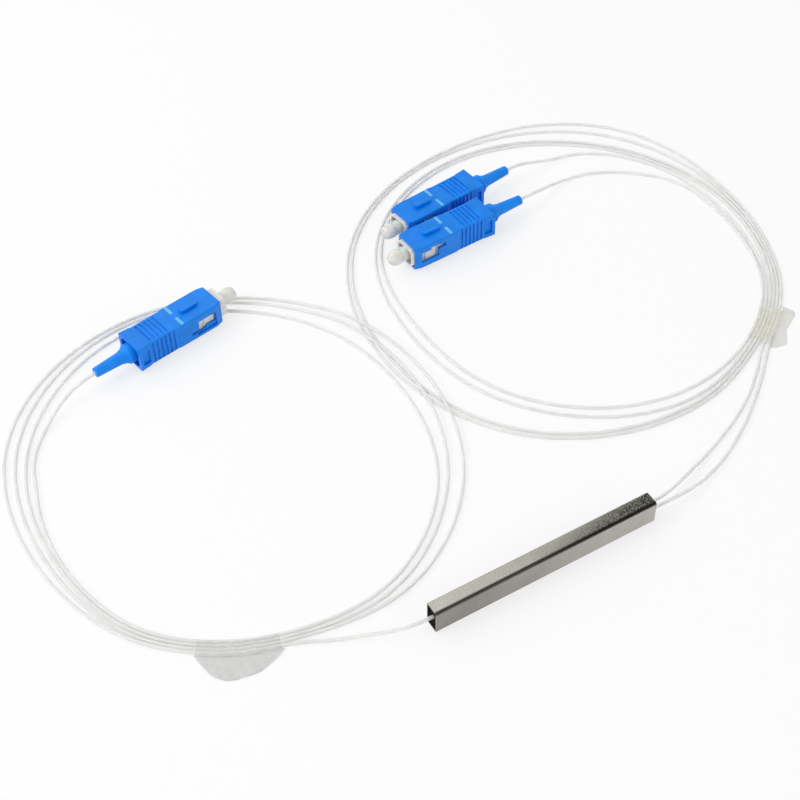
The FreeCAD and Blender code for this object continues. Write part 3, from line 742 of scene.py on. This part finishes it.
class SPLITTER_OT_marks(Dress, bpy.types.Operator):
    """Lay the two pale seating bars across the top of each grip"""
    bl_idname = "splitter.marks"
    bl_label = "Seating marks"

    def execute(self, context):
        settings = context.scene.splitter_plug
        pale = plain_moulded("pale_mark", tuple(settings.mark), 0.40, 0.12, 0.006)
        half = np.array([settings.mark_width / MM / 2, settings.mark_length / MM / 2])
        sides = 40
        a = np.linspace(0, 2 * math.pi, sides, endpoint=False)
        for plug, place in PLUGS.items():
            for side, tag in ((-1, "near"), (1, "far")):
                rings = np.stack([self.ring(a, half * scale, lift) for scale, lift in MARK_SECTION])
                rings[..., 0] += GRIP_LENGTH - MARK_FROM_NOSE - place["pulled"]
                rings[..., 1] += side * MARK_OFF_AXIS
                mark = skin(plug + "_mark_" + tag, plug_place(plug, rings), pale)
                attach(mark, plug + "_grip")
        return {"FINISHED"}

    @staticmethod
    def ring(a, half, lift):
        """A rounded oblong above the grip: each coordinate is half its size times the fifth root of |cos a|
        or |sin a|."""
        x, y = squared(a, half, 0.2)
        return np.stack([x, y, np.full_like(a, GRIP_TOP + lift)], axis=-1)


class SPLITTER_OT_stage(Dress, bpy.types.Operator):
    """Set the pale floor, the soft sky, the lamps and the camera"""
    bl_idname = "splitter.stage"
    bl_label = "Stage"

    def execute(self, context):
        settings = context.scene.splitter_stage
        self.floor(settings)
        self.sky(context)
        self.lamps()
        self.camera(context, settings)
        return {"FINISHED"}

    def floor(self, settings):
        mesh = bpy.data.meshes.new("floor")
        far = FLOOR_REACH
        mesh.from_pydata([(-far, -far, 0), (far, -far, 0), (far, far, 0), (-far, far, 0)], [], [(0, 1, 2, 3)])
        floor = bpy.data.objects.new("floor", mesh)
        bpy.context.collection.objects.link(floor)
        finish = Finish("floor", tuple(settings.floor), 0.9)
        tooth = finish.noise(6.0, 2.0)
        finish.set("Base Color", tooth.blend(shade(settings.floor, 0.985), tuple(settings.floor)))
        camera, glossy, through = rays(finish.field)
        share = camera.either(glossy.either(through)) * settings.glow
        lit = Field(finish.tree, finish.shader.outputs[0])
        glow = finish.field.node("ShaderNodeEmission")
        seen = finish.field.node("ShaderNodeMixShader", {0: share, 1: lit, 2: glow})
        seen.feed(finish.tree.nodes["Material Output"].inputs["Surface"], seen)
        mesh.materials.append(finish.material)

    def sky(self, context):
        """A soft sky that is dimmer overhead. Seen by itself or through a clear piece it is white, and so is
        what metal shows of its lower part."""
        world = bpy.data.worlds.new("studio")
        world.use_nodes = True
        background = world.node_tree.nodes["Background"]
        place = Field(world.node_tree, None).node("ShaderNodeTexCoord", output="Generated")
        height = place.node("ShaderNodeSeparateXYZ", {0: place}, output=2)
        light = SKY_LOW - height.between(*SKY_FADE) * SKY_FALL
        camera, glossy, through = rays(place)
        mirrored = glossy * (1.0 - height.between(*SKY_MIRRORED))
        seen = camera.either(through.either(mirrored))
        background.inputs["Color"].default_value = (1.0, 1.0, 1.0, 1.0)
        place.feed(background.inputs["Strength"], light + seen * (1.0 - light))
        context.scene.world = world

    def lamps(self):
        aim = Vector(LAMPS_AIM)
        for name, azimuth, height, distance, size, power in LAMPS:
            lamp = bpy.data.lights.new(name, "AREA")
            lamp.shape = "DISK"
            lamp.size = size
            lamp.energy = power
            lit = bpy.data.objects.new(name, lamp)
            across = math.cos(math.radians(height)) * distance
            lit.location = aim + Vector((across * math.cos(math.radians(azimuth)),
                                         across * math.sin(math.radians(azimuth)),
                                         math.sin(math.radians(height)) * distance))
            lit.rotation_euler = (aim - lit.location).to_track_quat("-Z", "Y").to_euler()
            bpy.context.collection.objects.link(lit)

    def camera(self, context, settings):
        lens = bpy.data.cameras.new("camera")
        lens.lens = settings.lens
        lens.sensor_width = 36.0
        lens.clip_start = 0.01
        lens.clip_end = 20.0
        camera = bpy.data.objects.new("camera", lens)
        place = Matrix.Translation(CAMERA_AT)
        for degrees, axis in CAMERA_TURNS:
            place = place @ Matrix.Rotation(math.radians(degrees), 4, axis)
        camera.matrix_world = place
        bpy.context.collection.objects.link(camera)
        context.scene.camera = camera
        context.scene.view_settings.view_transform = "Standard"


class SPLITTER_PT_panel(bpy.types.Panel):
    """The dresser's panel in the sidebar"""
    bl_label = "Splitter"
    bl_space_type = "VIEW_3D"
    bl_region_type = "UI"
    bl_category = "Splitter"

    def draw(self, context):
        for operator in OPERATORS:
            self.layout.operator(operator.bl_idname)
        for name, group in SETTINGS.items():
            for setting in group.__annotations__:
                self.layout.prop(getattr(context.scene, name), setting)


OPERATORS = (SPLITTER_OT_finishes, SPLITTER_OT_cords, SPLITTER_OT_ties, SPLITTER_OT_caps, SPLITTER_OT_marks,
             SPLITTER_OT_stage)
SETTINGS = {"splitter_cord": CordSettings, "splitter_plug": PlugSettings, "splitter_stage": StageSettings}
CLASSES = (*SETTINGS.values(), *OPERATORS, SPLITTER_PT_panel)


def register():
    for cls in CLASSES:
        bpy.utils.register_class(cls)
    for name, group in SETTINGS.items():
        setattr(bpy.types.Scene, name, bpy.props.PointerProperty(type=group))


def unregister():
    for name in SETTINGS:
        delattr(bpy.types.Scene, name)
    for cls in reversed(CLASSES):
        bpy.utils.unregister_class(cls)


def main():
    register()
    bpy.ops.splitter.finishes()
    bpy.ops.splitter.cords()
    bpy.ops.splitter.ties()
    bpy.ops.splitter.caps()
    bpy.ops.splitter.marks()
    bpy.ops.splitter.stage()


if __name__ == "__main__":
    main()
